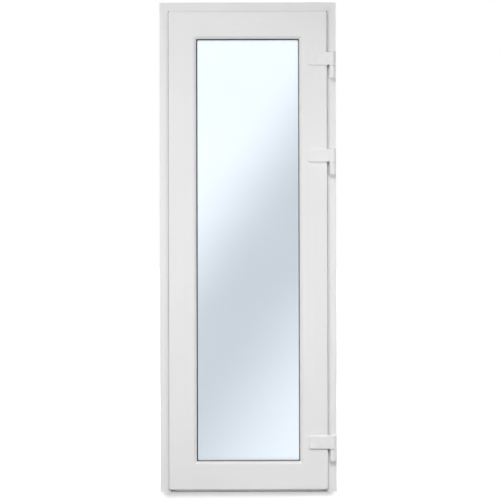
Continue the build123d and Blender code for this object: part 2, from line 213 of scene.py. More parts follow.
@dataclass(frozen=True)
class Finish:
    """A surface finish that makes one principled material.

    Attributes:
        name: Material name.
        colour: Linear base colour.
        roughness: Middle roughness.
        run: Axis that its streaks follow.
        coat: Share of its skin that is slick.
        tone: Noises that vary the colour.
        drift: Largest share of itself by which the colour varies.
        gloss: Noises that vary the roughness, if any.
        gloss_drift: Roughness that they take off, and that they add.
        relief: Noises that raise the surface.
        depth: Height of the relief in metres.
        strength: Strength of the relief.
        fixed: Other inputs of the shader, by name.
    """

    name: str
    colour: Colour
    roughness: float
    run: Run = Run.UPRIGHT
    coat: float = 0.0
    tone: Grains = ()
    drift: float = 0.0
    gloss: Grains = ()
    gloss_drift: Pair = (0.0, 0.0)
    relief: Grains = ()
    depth: float = 0.0
    strength: float = 0.0
    fixed: Fixed = ()

    def pattern(self, graph: NodeGraph, grains: Grains) -> Socket:
        """Add noises up by their weights.

        Args:
            graph: Graph of the material.
            grains: The noises, at least one.

        Returns:
            The sum.
        """
        total, *others = (graph.noise(grain, self.run) for grain in grains)
        for value in others:
            total = graph.math("ADD", total, value)
        return total

    def build(self) -> Material:
        """Make the material and wire its patterns into its shader.

        Returns:
            The material.
        """
        material = bpy.data.materials.new(self.name)
        material.use_nodes = True
        graph = NodeGraph(material.node_tree)
        inputs = {"Roughness": self.roughness, "Coat Weight": self.coat, **dict(self.fixed)}
        inputs["Base Color"] = graph.shade(self.pattern(graph, self.tone), self.colour, self.drift)
        inputs["Normal"] = graph.bump(self.pattern(graph, self.relief), self.depth, self.strength)
        if self.gloss:
            low, high = self.roughness - self.gloss_drift[0], self.roughness + self.gloss_drift[1]
            inputs["Roughness"] = graph.spread(self.pattern(graph, self.gloss), low, high)
        graph.fill(material.node_tree.nodes["Principled BSDF"], inputs)
        return material


@dataclass(frozen=True)
class ExtrudedPlastic(Finish):
    """White window plastic: draw lines along the profile, slow clouding and a fine orange peel."""

    tone: Grains = (Grain(260.0, 3.0, along=1.2, weight=0.45), Grain(3.5, 2.0, weight=0.55))
    drift: float = 0.016
    gloss: Grains = (Grain(260.0, 3.0, along=1.2),)
    gloss_drift: Pair = (0.05, 0.05)
    relief: Grains = (Grain(900.0, 1.0), Grain(260.0, 3.0, along=1.2, weight=0.6))
    depth: float = 0.00012
    strength: float = 0.22
    fixed: Fixed = (("Specular IOR Level", 0.25),)


@dataclass(frozen=True)
class EnamelCoat(Finish):
    """Baked white coat on a casting: a soft orange peel, slightly uneven in tone and gloss."""

    tone: Grains = (Grain(9.0, 1.0),)
    drift: float = 0.008
    gloss: Grains = tone
    gloss_drift: Pair = (0.03, 0.03)
    relief: Grains = (Grain(620.0, 2.0),)
    depth: float = 0.0002
    strength: float = 0.25
    fixed: Fixed = (("Specular IOR Level", 0.3),)


@dataclass(frozen=True)
class SealRubber(Finish):
    """Extruded rubber: a dusty bloom in patches and a fine grain under a slick skin."""

    tone: Grains = (Grain(35.0, 3.0),)
    drift: float = 0.22
    gloss: Grains = tone
    gloss_drift: Pair = (0.08, 0.1)
    relief: Grains = (Grain(1500.0, 1.0),)
    depth: float = 0.0001
    strength: float = 0.3
    fixed: Fixed = (("Coat Roughness", 0.3), ("Coat IOR", 1.7))


@dataclass(frozen=True)
class FloatGlass(Finish):
    """Clear glass: a faint tint that drifts, and a roller wave that only reflections show."""

    tone: Grains = (Grain(1.5, 1.0),)
    drift: float = 0.004
    relief: Grains = (Grain(1.2, 0.0, along=4.0),)
    depth: float = 0.0004
    strength: float = 0.5
    fixed: Fixed = (("IOR", 1.6), ("Transmission Weight", 1.0))


@dataclass(frozen=True)
class DrawnMetal(Finish):
    """Bare or plated metal: fine drawn marks over a slow drift in tone."""

    tone: Grains = (Grain(70.0, 2.0),)
    drift: float = 0.05
    relief: Grains = (Grain(1800.0, 2.0, along=14.0),)
    gloss: Grains = relief
    gloss_drift: Pair = (0.08, 0.1)
    depth: float = 0.00006
    strength: float = 0.3
    fixed: Fixed = (("Metallic", 0.7),)


@dataclass(frozen=True)
class FilledPlastic(Finish):
    """Moulded plastic: a matt spark-eroded grain and small specks of filler."""

    tone: Grains = (Grain(240.0, 3.0),)
    drift: float = 0.18
    relief: Grains = (Grain(1100.0, 2.0),)
    gloss: Grains = relief
    gloss_drift: Pair = (0.08, 0.08)
    depth: float = 0.0002
    strength: float = 0.4


class Palette:
    """Every finish of the door, made once."""

    def __init__(self) -> None:
        """Build all the materials."""
        white = (0.82, 0.82, 0.82)
        self.stile = ExtrudedPlastic("white_plastic_upright", white, 0.36).build()
        self.rail = ExtrudedPlastic("white_plastic_across", white, 0.36, Run.ACROSS).build()
        self.hinge = EnamelCoat("white_hinge_enamel", (0.83, 0.83, 0.83), 0.3).build()
        self.handle = EnamelCoat("white_handle_enamel", (0.84, 0.84, 0.84), 0.27).build()
        self.glazing_rubber = SealRubber("grey_glazing_rubber", (0.03, 0.031, 0.033), 0.6, coat=0.8).build()
        self.seal_rubber = SealRubber("grey_weather_seal", (0.05, 0.05, 0.052), 0.62, coat=0.2).build()
        self.glass = FloatGlass("clear_glass", (0.931, 0.961, 0.99), 0.0).build()
        self.spacer = DrawnMetal("spacer_aluminium", (0.62, 0.63, 0.64), 0.42).build()
        # Near-black discs for the spacers' breather holes: painted shade for the holes' depth.
        self.spacer_hole_shade = FilledPlastic("spacer_perforation", (0.05, 0.05, 0.05), 0.8).build()
        self.tread = DrawnMetal("anodised_tread", (0.5, 0.5, 0.505), 0.36, Run.ACROSS).build()
        self.core = FilledPlastic("threshold_core", (0.028, 0.028, 0.03), 0.7).build()
        self.end_block = FilledPlastic("grey_end_block", (0.42, 0.42, 0.43), 0.6).build()
        self.steel = DrawnMetal("zinc_plated_steel", (0.60, 0.60, 0.585), 0.38, drift=0.14).build()


def dress(finish: Material, *nodes: str) -> None:
    """Give CAD nodes a finish and report each one.

    Args:
        finish: Material for every slot of the nodes.
        nodes: Node names.
    """
    for name in nodes:
        for slot in frame["nodes"][name].material_slots:
            slot.material = finish
        log.info("dressed %s in %s", name, finish.name)


def settle(piece: Thing, body: Body, slot: str, *nodes: str) -> None:
    """Fix a finished piece to its body, hide the CAD nodes that it stands for, and report it.

    Args:
        piece: Object with its place in its mesh.
        body: Body that it moves with.
        slot: Material slot of the record; not used.
        nodes: CAD nodes that the piece stands for.
    """
    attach(piece, body.value)
    if nodes:
        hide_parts(*nodes)
    log.info("made %s, %d faces, on %s", piece.name, len(piece.data.polygons), body.value)


def link(data: bpy.types.ID) -> Thing:
    """Put data into the scene as an object of the same name, at the origin.

    Args:
        data: A mesh, a lamp or a camera.

    Returns:
        The object.
    """
    thing = bpy.data.objects.new(data.name, data)
    bpy.context.scene.collection.objects.link(thing)
    return thing


def bake(piece: Thing) -> Mesh:
    """Apply an object's modifiers and take them off it.

    Args:
        piece: Object with its modifiers set.

    Returns:
        The plain mesh that the object is left with.
    """
    bpy.context.view_layer.update()
    evaluated = piece.evaluated_get(bpy.context.evaluated_depsgraph_get())
    made = bpy.data.meshes.new_from_object(evaluated)
    piece.modifiers.clear()
    piece.data = made
    return made


def neighbours(ring: list) -> list[tuple]:
    """Return each item of a ring with the one after it."""
    return list(zip(ring, ring[1:] + ring[:1]))


def quarter_turn(steps: int) -> list[float]:
    """Return the angles of a quarter turn in equal steps, from zero up."""
    return [math.radians(90 * step / steps) for step in range(steps + 1)]


def rounded_rectangle(width: float, height: float, corner: float, steps: int) -> list[Pair]:
    """Outline of a rectangle with round corners, centred on zero and anticlockwise.

    Args:
        width: Size along the first axis.
        height: Size along the second axis.
        corner: Corner radius.
        steps: Segments in each corner.

    Returns:
        The outline's points.
    """
    points = []
    for turn, (sx, sy) in enumerate(((1, 1), (-1, 1), (-1, -1), (1, -1))):
        for step in range(steps + 1):
            angle = math.radians(90 * (turn + step / steps))
            points.append((sx * (width / 2 - corner) + corner * math.cos(angle),
                           sy * (height / 2 - corner) + corner * math.sin(angle)))
    return points


def cushion(middle: Pair, size: Pair, corner: float, levels: Pair, edge: float, steps: int) -> list[Loop]:
    """Loops of an upright plate with round corners, stepped in over a rounded edge.

    Args:
        middle: Middle of the plate, across and in height.
        size: Width and height of the plate.
        corner: Radius of its corners.
        levels: Depths of its foot and of its face.
        edge: Radius of the edge round its face.
        steps: Segments in each corner.

    Returns:
        The loops, from the foot to the face.
    """
    foot, face = levels
    back = math.copysign(edge, foot - face)
    rows = [(0.0, foot)]
    rows += [(edge * (1 - math.cos(t)), face + back * (1 - math.sin(t))) for t in quarter_turn(EDGE_STEPS)]
    loops = []
    for inset, depth in rows:
        outline = rounded_rectangle(size[0] - 2 * inset, size[1] - 2 * inset, corner - inset, steps)
        loops.append([Vector((middle[0] + x, depth, middle[1] + z)) for x, z in outline])
    return loops


def skin(name: str, finish: Material, loops: list[Loop], closed: bool = False,
         crease: float = CREASE) -> Mesh:
    """Skin a row of loops of equal length into a smooth-shaded mesh with outward faces.

    Args:
        name: Mesh name.
        finish: Its material.
        loops: Loops in order, each a ring of points.
        closed: Whether the last loop joins the first, in place of a cap at each end.
        crease: Angle in degrees above which an edge stays sharp.

    Returns:
        The mesh.
    """
    shape = bmesh.new()
    rings = [[shape.verts.new(point) for point in loop] for loop in loops]
    pairs = neighbours(rings)
    for ring, following in pairs if closed else pairs[:-1]:
        for (a, b), (c, d) in zip(neighbours(ring), neighbours(following)):
            shape.faces.new((a, b, d, c))
    if not closed:
        shape.faces.new(rings[0])
        shape.faces.new(rings[-1])
    bmesh.ops.remove_doubles(shape, verts=shape.verts, dist=MERGE_DISTANCE)
    bmesh.ops.recalc_face_normals(shape, faces=shape.faces)
    made = bpy.data.meshes.new(name)
    shape.to_mesh(made)
    shape.free()
    made.materials.append(finish)
    made.shade_smooth()
    made.set_sharp_from_angle(angle=math.radians(crease))
    return made


def joined(first: Mesh, second: Mesh) -> Thing:
    """Unite two closed meshes into one object.

    Args:
        first: Mesh that gives the object its name and its material.
        second: Mesh that is added to it.

    Returns:
        The object, with no modifier left on it.
    """
    base, tool = link(first), link(second)
    union = base.modifiers.new("union", "BOOLEAN")
    union.operation = "UNION"
    union.solver = "EXACT"
    union.object = tool
    made = bake(base)
    bpy.data.objects.remove(tool)
    made.shade_smooth()
    made.set_sharp_from_angle(angle=math.radians(CREASE))
    return base


class Layout(NodeGraph):
    """A geometry tree that sets out copies of a shape and gives them a finish."""

    def __init__(self, name: str, inputs: dict[str, str]) -> None:
        """Start the tree with its inputs and its output.

        Args:
            name: Name of the tree.
            inputs: Label and socket type of each input, the object's own geometry first.
        """
        super().__init__(bpy.data.node_groups.new(name, "GeometryNodeTree"))
        face = self.tree.interface
        self.ids = {label: face.new_socket(label, in_out="INPUT", socket_type=kind).identifier
                    for label, kind in inputs.items()}
        face.new_socket("Copies", in_out="OUTPUT", socket_type="NodeSocketGeometry")
        self.given = self.add("NodeGroupInput").outputs

    def set_out(self, points: Socket, shape: Socket, rotation: Socket, finish: Material) -> None:
        """Put a copy on each point, and make the copies one mesh in one material.

        Args:
            points: Points that carry the copies.
            shape: Geometry of one copy.
            rotation: Turn of each copy.
            finish: Material of the copies.
        """
        placed = {"Points": points, "Instance": shape, "Rotation": rotation}
        copies = self.add("GeometryNodeInstanceOnPoints", placed).outputs[0]
        solid = self.add("GeometryNodeRealizeInstances", {"Geometry": copies}).outputs[0]
        coloured = self.add("GeometryNodeSetMaterial", {"Geometry": solid, "Material": finish}).outputs[0]
        self.add("NodeGroupOutput", {0: coloured})

    def apply(self, piece: Thing, values: dict[str, object]) -> None:
        """Run the tree on an object and keep the result as its plain mesh.

        Args:
            piece: Object with the points or lines that the tree starts from.
            values: Value of each other input, by label.
        """
        modifier = piece.modifiers.new("layout", "NODES")
        modifier.node_group = self.tree
        for label, value in values.items():
            modifier[self.ids[label]] = value
        bake(piece)


@dataclass
class Screws:
    """Countersunk screws set out by a geometry tree on given points.

    Attributes:
        name: Name of the piece.
        body: Body that they hold to.
        finish: Material of the screws.
        points: Middle of each head's face.
        outward: Direction that the heads face.
        head_radius: Radius of a head.
        rim_drop: Depth of a head's rim under its middle.
        skirt_drop: Depth of a head's underside.
        slot_width: Width of the cross recess.
        slot_depth: Depth of the cross recess.
        slot_reach: Half length of the recess, as a share of the radius.
        slot_taper: Size of the recess's floor, as a share of its mouth.
        sides: Sides of a head.
        seed: Seed of the turn that each screw stopped at.
    """

    name: str
    body: Body
    finish: Material
    points: list[Point]
    outward: Point
    head_radius: float = 0.0033
    rim_drop: float = 0.0003
    skirt_drop: float = 0.0016
    slot_width: float = 0.0009
    slot_depth: float = 0.0012
    slot_reach: float = 0.62
    slot_taper: float = 0.8
    sides: int = 24
    seed: int = 7

    def head(self) -> Thing:
        """Model one head that faces up the Z axis, with a cross recess.

        Returns:
            A template object, removed once the screws are set.
        """
        shape = bmesh.new()
        arm, half = self.head_radius * self.slot_reach, self.slot_width / 2
        quarter = ((arm, -half), (arm, half), (half, half))
        turns = ((1, 0), (0, 1), (-1, 0), (0, -1))
        cross = [(c * x - s * y, s * x + c * y) for c, s in turns for x, y in quarter]
        angles = [math.tau * k / self.sides for k in range(self.sides)]
        circle = [(self.head_radius * math.cos(a), self.head_radius * math.sin(a)) for a in angles]
        rim = [shape.verts.new((x, y, -self.rim_drop)) for x, y in circle]
        skirt = [shape.verts.new((x, y, -self.skirt_drop)) for x, y in circle]
        mouth = [shape.verts.new((x, y, 0.0)) for x, y in cross]
        taper = self.slot_taper
        floor = [shape.verts.new((x * taper, y * taper, -self.slot_depth)) for x, y in cross]
        edges = [shape.edges.new(pair) for ring in (rim, mouth) for pair in neighbours(ring)]
        bmesh.ops.triangle_fill(shape, edges=edges, use_beauty=True, normal=(0, 0, 1))
        for first, second in ((rim, skirt), (floor, mouth)):
            for (a, b), (c, d) in zip(neighbours(first), neighbours(second)):
                shape.faces.new((a, c, d, b))
        shape.faces.new(floor)
        shape.faces.new(skirt)
        bmesh.ops.recalc_face_normals(shape, faces=shape.faces)
        mesh = bpy.data.meshes.new(self.name + "_head")
        shape.to_mesh(mesh)
        shape.free()
        mesh.materials.append(self.finish)
        return link(mesh)

    def layout(self) -> Layout:
        """Build the tree that puts a head on each point, turned at random about its axis.

        Returns:
            The tree.
        """
        graph = Layout(self.name + "_layout", {
            "Points": "NodeSocketGeometry", "Head": "NodeSocketObject",
            "Facing": "NodeSocketVector", "Seed": "NodeSocketInt"})
        head = graph.add("GeometryNodeObjectInfo", {"Object": graph.given["Head"]}).outputs["Geometry"]
        aim = graph.add("FunctionNodeAlignRotationToVector", {"Vector": graph.given["Facing"]}, axis="Z")
        limits = {2: 0.0, 3: math.pi / 2, "Seed": graph.given["Seed"]}
        spin = graph.add("FunctionNodeRandomValue", limits, data_type="FLOAT")
        turn = graph.add("ShaderNodeCombineXYZ", {"Z": spin.outputs[1]})
        about_axis = graph.add("FunctionNodeEulerToRotation", {"Euler": turn.outputs[0]})
        both = {0: aim.outputs[0], 1: about_axis.outputs[0]}
        rotation = graph.add("FunctionNodeRotateRotation", both, rotation_space="LOCAL")
        graph.set_out(graph.given["Points"], head, rotation.outputs[0], self.finish)
        return graph

    def build(self) -> None:
        """Set the screws out and keep them as one plain mesh."""
        head = self.head()
        cloud = bpy.data.meshes.new(self.name)
        cloud.from_pydata(self.points, [], [])
        piece = link(cloud)
        self.layout().apply(piece, {"Head": head, "Facing": self.outward, "Seed": self.seed})
        bpy.data.objects.remove(head)
        settle(piece, self.body, "lock_steel")


@dataclass
class Perforations:
    """Dark discs in two rows round a glazing spacer, at its breather holes: the holes are real, and their
    dark look is painted shade for their depth.

    Attributes:
        name: Name of the piece.
        node: Spacer that carries the holes.
        width: Width of the spacer bar, from glass edge to sight side.
        finish: Dark material of the discs, the holes' painted shade.
        pitch: Distance from hole to hole.
        radius: Radius of a hole.
        sides: Sides of a hole.
        row_gap: Distance between the two rows.
        corner_pitches: Pitches left free of holes at each end of a side.
        lift: Height above the spacer's face.
    """

    name: str
    node: str
    width: float
    finish: Material
    pitch: float = 0.009
    radius: float = 0.0007
    sides: int = 6
    row_gap: float = 0.004
    corner_pitches: float = 1.5
    lift: float = 0.00015

    def path(self) -> Mesh:
        """Draw both rows round the spacer's inner face.

        Returns:
            Edges of the rows, with corners left free of holes.
        """
        low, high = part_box(self.node)
        inset = self.width + self.lift
        left, right, foot, top = low.x + inset, high.x - inset, low.z + inset, high.z - inset
        gap = self.pitch * self.corner_pitches
        ends = [(left + gap, foot), (right - gap, foot), (right, foot + gap), (right, top - gap),
                (right - gap, top), (left + gap, top), (left, top - gap), (left, foot + gap)]
        middle = (low.y + high.y) / 2
        rows = (middle - self.row_gap / 2, middle + self.row_gap / 2)
        points = [(x, y, z) for y in rows for x, z in ends]
        drawn = bpy.data.meshes.new(self.name)
        drawn.from_pydata(points, [(k, k + 1) for k in range(0, len(points), 2)], [])
        return drawn

    def layout(self) -> Layout:
        """Build the tree that sets discs along the rows, facing the glass's middle.

        Returns:
            The tree.
        """
        graph = Layout(self.name + "_layout", {
            "Rows": "NodeSocketGeometry", "Pitch": "NodeSocketFloat", "Radius": "NodeSocketFloat"})
        rows = graph.add("GeometryNodeMeshToCurve", {"Mesh": graph.given["Rows"]}).outputs[0]
        spacing = {"Curve": rows, "Length": graph.given["Pitch"]}
        spaced = graph.add("GeometryNodeCurveToPoints", spacing, mode="LENGTH").outputs
        inward = graph.vector("CROSS_PRODUCT", spaced["Tangent"], (0.0, 1.0, 0.0))
        aim = graph.add("FunctionNodeAlignRotationToVector", {"Vector": inward}, axis="Z")
        outline = {"Vertices": self.sides, "Radius": graph.given["Radius"]}
        disc = graph.add("GeometryNodeMeshCircle", outline, fill_type="NGON")
        graph.set_out(spaced["Points"], disc.outputs[0], aim.outputs[0], self.finish)
        return graph

    def build(self) -> None:
        """Set the rows of dark discs out, painted shade for the holes, and keep them as one plain mesh."""
        piece = link(self.path())
        self.layout().apply(piece, {"Pitch": self.pitch, "Radius": self.radius})
        settle(piece, Body.SASH, "spacer_bar")


@dataclass
class Assembly:
    """A sub-assembly of the door.

    Attributes:
        palette: The door's finishes.
    """

    palette: Palette


class DoorFrame(Assembly):
    """The fixed outer frame with its seal."""

    def build(self) -> None:
        """Dress the jambs, the head and the seal."""
        dress(self.palette.stile, "hinge_jamb", "lock_jamb")
        dress(self.palette.rail, "frame_head")
        dress(self.palette.seal_rubber, "frame_seal")


@dataclass
class Threshold(Assembly):
    """The low sill: core, metal tread and end blocks.

    Attributes:
        ends: The two end blocks.
        screw_radius: Radius of the end blocks' screws.
        screw_inset: Distance of the screws from the blocks' ends.
        screw_rise: Height of the screws' crowns over the blocks' tops.
    """

    ends: tuple[str, ...] = ("threshold_end_lock", "threshold_end_hinge")
    screw_radius: float = 0.0042
    screw_inset: float = 0.014
    screw_rise: float = 0.0002

    def build(self) -> None:
        """Dress the sill and screw its end blocks down."""
        dress(self.palette.core, "threshold_base")
        dress(self.palette.end_block, *self.ends)
        dress(self.palette.tread, "threshold_tread")
        points = []
        for low, high in map(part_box, self.ends):
            for y in (low.y + self.screw_inset, high.y - self.screw_inset):
                points.append(((low.x + high.x) / 2, y, high.z + self.screw_rise))
        steel = self.palette.steel
        Screws("threshold_screws", Body.FRAME, steel, points, (0, 0, 1), self.screw_radius).build()


@dataclass
class Sash(Assembly):
    """The opening leaf's welded frame and its seal.

    Attributes:
        lip_reach: Distance that the seal's lip reaches out from its bulb, far enough to show beside the sash
            as a dark line of painted seam shade.
        lip_root: Depth of the lip's root in the bulb.
        lip_thickness: Thickness of the lip at its root and at its tip.
    """

    lip_reach: float = 0.0032
    lip_root: float = 0.002
    lip_thickness: Pair = (0.0014, 0.0006)

    def lip(self) -> None:
        """Model a lip that runs round the seal and reaches out to show as a thin dark line beside the sash:
        its dark rubber is painted shade for the seam between sash and frame.
        """
        low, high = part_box("sash_seal")
        root, tip = self.lip_thickness
        section = [(-self.lip_root, high.y), (self.lip_reach, high.y),
                   (self.lip_reach, high.y - tip), (-self.lip_root, high.y - root)]
        corners = [(low.x, low.z, -1, -1), (high.x, low.z, 1, -1),
                   (high.x, high.z, 1, 1), (low.x, high.z, -1, 1)]
        loops = [[Vector((x + sx * out, y, z + sz * out)) for out, y in section] for x, z, sx, sz in corners]
        mesh = skin("sash_seal_lip", self.palette.seal_rubber, loops, closed=True)
        settle(link(mesh), Body.SASH, "seal_rubber")

    def build(self) -> None:
        """Dress the stiles, the rails and the seal, and add the seal's lip, whose dark line is painted seam
        shade.
        """
        dress(self.palette.stile, "sash_hinge_stile", "sash_lock_stile")
        dress(self.palette.rail, "sash_top_rail", "sash_bottom_rail")
        dress(self.palette.seal_rubber, "sash_seal")
        self.lip()


@dataclass
class Glazing(Assembly):
    """Three panes with their spacers, gaskets and inside beads.

    Attributes:
        spacers: The two spacer frames.
        spacer_width: Width of the spacer bars.
    """

    spacers: tuple[str, ...] = ("outer_spacer", "inner_spacer")
    spacer_width: float = 0.008

    def build(self) -> None:
        """Dress the glazing and set dark discs, painted shade of the breather holes, on the spacers."""
        dress(self.palette.glass, "outer_pane", "middle_pane", "inner_pane")
        dress(self.palette.spacer, *self.spacers)
        dress(self.palette.glazing_rubber, "outer_glazing_gasket", "inner_glazing_gasket")
        dress(self.palette.rail, "glazing_bead_top", "glazing_bead_bottom")
        dress(self.palette.stile, "glazing_bead_hinge", "glazing_bead_lock")
        for node in self.spacers:
            Perforations(node + "_holes", node, self.spacer_width, self.palette.spacer_hole_shade).build()


@dataclass
class Hinge(Assembly):
    """One surface hinge: a cushioned cover on the sash over a cup on the frame.

    Attributes:
        place: Which of the door's hinges it is.
        axis: Middle of the pin, across and in depth.
        radius: Radius of the two knuckles.
        rim: Radius of the knuckles' rims.
        spokes: Sides of a knuckle.
        housing_inset: Distance that the housing's sides stand inside the knuckle's.
        cover_low: Height of the cover's foot over its knuckle's foot.
        cover_height: Height of the cover.
        cover_front: Distance of the cover's face in front of the pin's middle.
        cover_end: Distance from the cover's end to the pin's middle.
        corner: Radius of the cover's corners.
        corner_steps: Segments in each corner.
        edge: Radius of the cover's cushioned edge.
        crown_rise: Rise of the cover's middle over its face's edge.
        crown_share: Size of that middle, as a share of the face.
    """

    place: str
    axis: Pair
    radius: float = 0.01399
    rim: float = 0.0016
    spokes: int = 56
    housing_inset: float = 0.0004
    cover_low: float = 0.002
    cover_height: float = 0.057
    cover_front: float = 0.009
    cover_end: float = 0.002
    corner: float = 0.009
    corner_steps: int = 8
    edge: float = 0.003
    crown_rise: float = 0.0006
    crown_share: float = 0.55

    def cover(self) -> Mesh:
        """Model the cushioned cover from its outline, with a slight crown.

        Returns:
            A closed mesh that ends inside the knuckle.
        """
        low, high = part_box(f"{self.place}_hinge_leaf")
        end = self.axis[0] - self.cover_end
        middle = ((low.x + end) / 2, low.z + self.cover_low + self.cover_height / 2)
        levels = (high.y, self.axis[1] - self.cover_front)
        loops = cushion(middle, (end - low.x, self.cover_height), self.corner, levels, self.edge,
                        self.corner_steps)
        face = loops[-1]
        centre = sum(face, Vector()) / len(face)
        rise = Vector((0, -self.crown_rise, 0))
        crown = [centre + (point - centre) * self.crown_share + rise for point in face]
        return skin(f"{self.place}_hinge_cushion", self.palette.hinge, loops + [crown])

    def rims(self, foot: float, top: float) -> list[Pair]:
        """Inset and height of the loops of an upright shape with softened rims.

        Args:
            foot: Height of its lower face.
            top: Height of its upper face.

        Returns:
            The pairs, from the foot up.
        """
        arc = quarter_turn(RIM_STEPS)
        lower = [(self.rim * (1 - math.sin(t)), foot + self.rim * (1 - math.cos(t))) for t in arc]
        upper = [(self.rim * (1 - math.cos(t)), top - self.rim * (1 - math.sin(t))) for t in arc]
        return lower + upper

    def knuckle(self, name: str, foot: float, top: float) -> Mesh:
        """Turn one knuckle with softened rims.

        Args:
            name: Mesh name.
            foot: Height of its lower face.
            top: Height of its upper face.

        Returns:
            A closed mesh.
        """
        turns = [math.tau * k / self.spokes for k in range(self.spokes)]
        loops = []
        for inset, z in self.rims(foot, top):
            r = self.radius - inset
            loops.append([Vector((self.axis[0] + r * math.cos(a), self.axis[1] + r * math.sin(a), z))
                          for a in turns])
        return skin(name, self.palette.hinge, loops)

    def housing(self) -> Mesh:
        """Model the block that carries the lower knuckle on the frame.

        Returns:
            A closed mesh.
        """
        low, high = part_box(f"{self.place}_hinge_base")
        loops = []
        for inset, z in self.rims(low.z, high.z):
            half = self.radius - self.housing_inset - inset
            left, right = self.axis[0] - half, self.axis[0] + half
            loops.append([Vector((left, high.y, z)), Vector((left, self.axis[1], z)),
                          Vector((right, self.axis[1], z)), Vector((right, high.y, z))])
        return skin(f"{self.place}_hinge_housing", self.palette.hinge, loops)

    def build(self) -> None:
        """Make the hinge's two halves and dress its pin."""
        halves = (("leaf", "cover", Body.SASH, self.cover), ("base", "cup", Body.FRAME, self.housing))
        for half, role, body, arm in halves:
            node = f"{self.place}_hinge_{half}"
            low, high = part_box(node)
            knuckle = self.knuckle(f"{self.place}_hinge_{role}", low.z, high.z)
            settle(joined(knuckle, arm()), body, "hinge_enamel", node)
        dress(self.palette.steel, f"{self.place}_hinge_pin")


@dataclass
class LockEdge(Assembly):
    """Espagnolette faceplate with its cams on the sash, and keeps on the jamb.

    Attributes:
        keeps: The three keeps.
        plate_screws: Heights of the faceplate's screws.
        keep_screw_inset: Distance of a keep's screws from its ends.
        screw_rise: Height of the screws' crowns over the steel.
    """

    keeps: tuple[str, ...] = ("lower_keep", "middle_keep", "upper_keep")
    plate_screws: tuple[float, ...] = (0.2, 0.46, 0.72, 0.9, 1.2, 1.46, 1.62, 1.86, 1.962)
    keep_screw_inset: float = 0.008
    screw_rise: float = 0.00025

    def build(self) -> None:
        """Dress the lock's steel and screw it down."""
        steel = self.palette.steel
        dress(steel, "lock_faceplate", "lock_cams", *self.keeps)
        low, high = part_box("lock_faceplate")
        points = [(low.x - self.screw_rise, (low.y + high.y) / 2, z) for z in self.plate_screws]
        Screws("faceplate_screws", Body.SASH, steel, points, (-1, 0, 0)).build()
        points = []
        for low, high in map(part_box, self.keeps):
            for z in (low.z + self.keep_screw_inset, high.z - self.keep_screw_inset):
                points.append((high.x + self.screw_rise, (low.y + high.y) / 2, z))
        Screws("keep_screws", Body.FRAME, steel, points, (1, 0, 0)).build()


